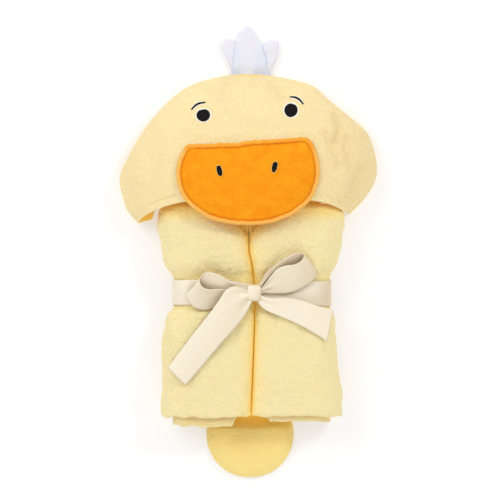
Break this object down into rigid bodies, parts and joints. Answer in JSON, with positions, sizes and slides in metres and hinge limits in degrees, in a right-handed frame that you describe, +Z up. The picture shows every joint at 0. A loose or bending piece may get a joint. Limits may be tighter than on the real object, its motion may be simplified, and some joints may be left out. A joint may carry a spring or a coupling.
{
  "type": "hooded baby towel",
  "caption": "Yellow terry hooded bath towel with a duck face, bill, crest and tail, folded and rolled into a flat bundle and tied at the waist with a cream satin bow.",
  "frame": {"origin": "on the floor under the middle of the bundle lying on its back", "axes": "+Z up out of the duck's face, +Y from the tail to the crest, +X to the right as seen from the front"},
  "size_m": [0.2569, 0.4517, 0.0692],
  "materials": {
    "yellow_terry": "soft velour terry, matt with a pale pile sheen",
    "tail_terry": "soft velour terry, slightly deeper yellow, lightly padded",
    "orange_velour": "cut-pile velour, matt",
    "white_plush": "short white plush, matt",
    "cream_satin": "woven satin ribbon, soft sheen",
    "dark_thread": "satin-stitched embroidery thread",
    "seam_thread": "sewing thread and rolled seam cloth",
    "orange_thread": "sewing thread",
    "padding": "polyester wadding"
  },
  "bodies": {
    "bundle": {"towel_back_layers": "yellow_terry", "towel_left_side_fold": "yellow_terry", "towel_left_front_flap": "yellow_terry", "towel_left_inner_fold": "yellow_terry", "towel_left_hem": "yellow_terry", "towel_right_side_fold": "yellow_terry", "towel_right_front_flap": "yellow_terry", "towel_right_inner_fold": "yellow_terry", "towel_right_hem": "yellow_terry", "ribbon_band": "cream_satin", "bow_knot": "cream_satin", "neck_seam": "seam_thread", "tail_seam": "seam_thread", "tail_root": "tail_terry"},
    "hood": {"hood_front_panel": "yellow_terry", "hood_back_panel": "yellow_terry", "hood_rim_hem": "yellow_terry", "eye_left": "dark_thread", "eye_right": "dark_thread", "eyebrow_left": "dark_thread", "eyebrow_right": "dark_thread", "crest_seam": "seam_thread"},
    "bill": {"bill_back_panel": "orange_velour", "bill_padding": "padding", "bill_front_panel": "orange_velour", "bill_topstitch": "orange_thread", "nostril_left": "dark_thread", "nostril_right": "dark_thread"},
    "crest": {"crest_back_panel": "white_plush", "crest_padding": "padding", "crest_front_panel": "white_plush", "crest_seam_tab": "white_plush"},
    "tail": {"tail_back_panel": "tail_terry", "tail_stuffing": "padding", "tail_front_panel": "tail_terry", "tail_seam_tab": "tail_terry"},
    "bow_loop_left": {"bow_loop_left": "cream_satin"},
    "bow_loop_right": {"bow_loop_right": "cream_satin"},
    "bow_tail_left": {"bow_tail_left": "cream_satin"},
    "bow_tail_right": {"bow_tail_right": "cream_satin"}
  },
  "joints": [
    {"name": "hood_fold", "type": "hinge", "parent": "bundle", "child": "hood", "pos_m": [0, 0.0469, 0], "axis": [1, 0, 0], "range_deg": [-150, 0]},
    {"name": "bill_lift", "type": "hinge", "parent": "hood", "child": "bill", "pos_m": [-0.00075, 0.10975, 0.0575], "axis": [-0.9979, -0.0648, 0], "range_deg": [0, 95]},
    {"name": "crest_bend", "type": "hinge", "parent": "hood", "child": "crest", "pos_m": [0.002, 0.1769, 0.004], "axis": [1, 0, 0], "range_deg": [-45, 45], "stiffness_Nm_per_rad": 0.002},
    {"name": "tail_swing", "type": "hinge", "parent": "bundle", "child": "tail", "pos_m": [0.003, -0.1656, 0], "axis": [-1, 0, 0], "range_deg": [-150, 12]},
    {"name": "bow_loop_left_lift", "type": "hinge", "parent": "bundle", "child": "bow_loop_left", "pos_m": [-0.00477, -0.03932, 0.0455], "axis": [0.2079, 0.9781, 0], "range_deg": [0, 30], "stiffness_Nm_per_rad": 0.002},
    {"name": "bow_loop_right_lift", "type": "hinge", "parent": "bundle", "child": "bow_loop_right", "pos_m": [0.01486, -0.03673, 0.0455], "axis": [0.454, -0.891, 0], "range_deg": [0, 30], "stiffness_Nm_per_rad": 0.002},
    {"name": "bow_tail_left_lift", "type": "hinge", "parent": "bundle", "child": "bow_tail_left", "pos_m": [-0.00166, -0.04918, 0.0425], "axis": [-0.7314, 0.682, 0], "range_deg": [0, 35]},
    {"name": "bow_tail_right_lift", "type": "hinge", "parent": "bundle", "child": "bow_tail_right", "pos_m": [0.01509, -0.04577, 0.0425], "axis": [-0.4067, -0.9135, 0], "range_deg": [0, 35]}
  ]
}
